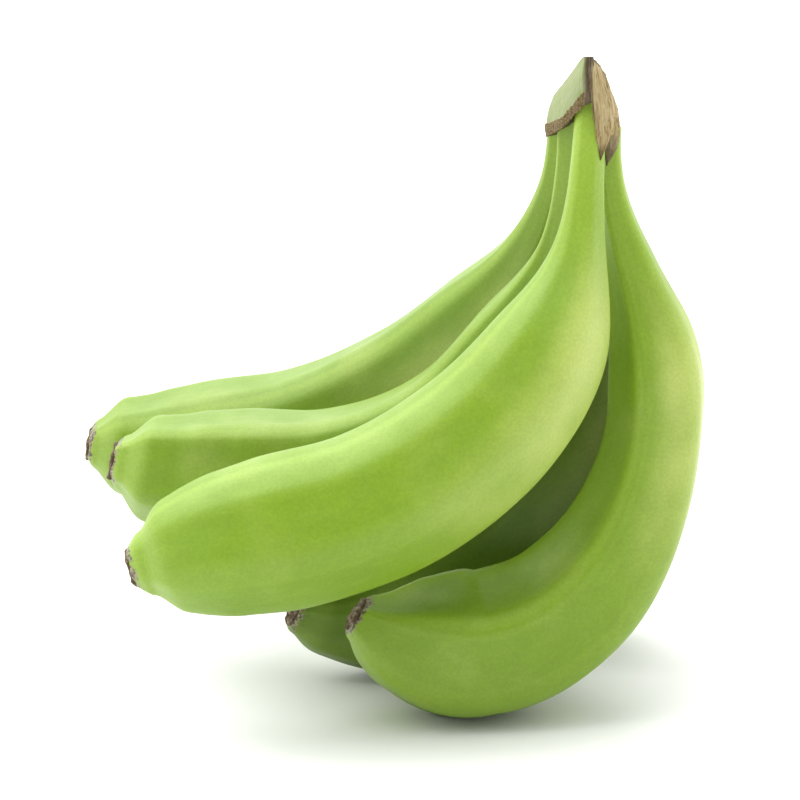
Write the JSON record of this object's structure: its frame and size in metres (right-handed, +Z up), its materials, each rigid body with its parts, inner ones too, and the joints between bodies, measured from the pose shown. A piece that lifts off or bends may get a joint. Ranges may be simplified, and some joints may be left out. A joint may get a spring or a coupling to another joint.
{
  "type": "bunch of bananas",
  "caption": "Bunch of unripe green bananas, curved fingers in two rows growing from one cut crown, resting on the backs of the lower row.",
  "frame": {"origin": "middle of the bounding box's underside, on the surface that the bunch rests on", "axes": "+Z up, from the resting fingers to the crown; -X the way the finger tips point; +Y from the front fingers to the back ones"},
  "size_m": [0.189, 0.1528, 0.188],
  "materials": {
    "banana_skin": "satin waxy green peel, paler at the necks and tips",
    "crown_stalk": "dried fibrous cut stalk, pale green where it is still fresh"
  },
  "bodies": {
    "root": {"crown": "crown_stalk", "banana_front_upper": "banana_skin", "banana_middle_upper": "banana_skin", "banana_back_upper": "banana_skin", "banana_front_lower": "banana_skin", "banana_middle_lower": "banana_skin", "banana_back_lower": "banana_skin"}
  },
  "joints": []
}
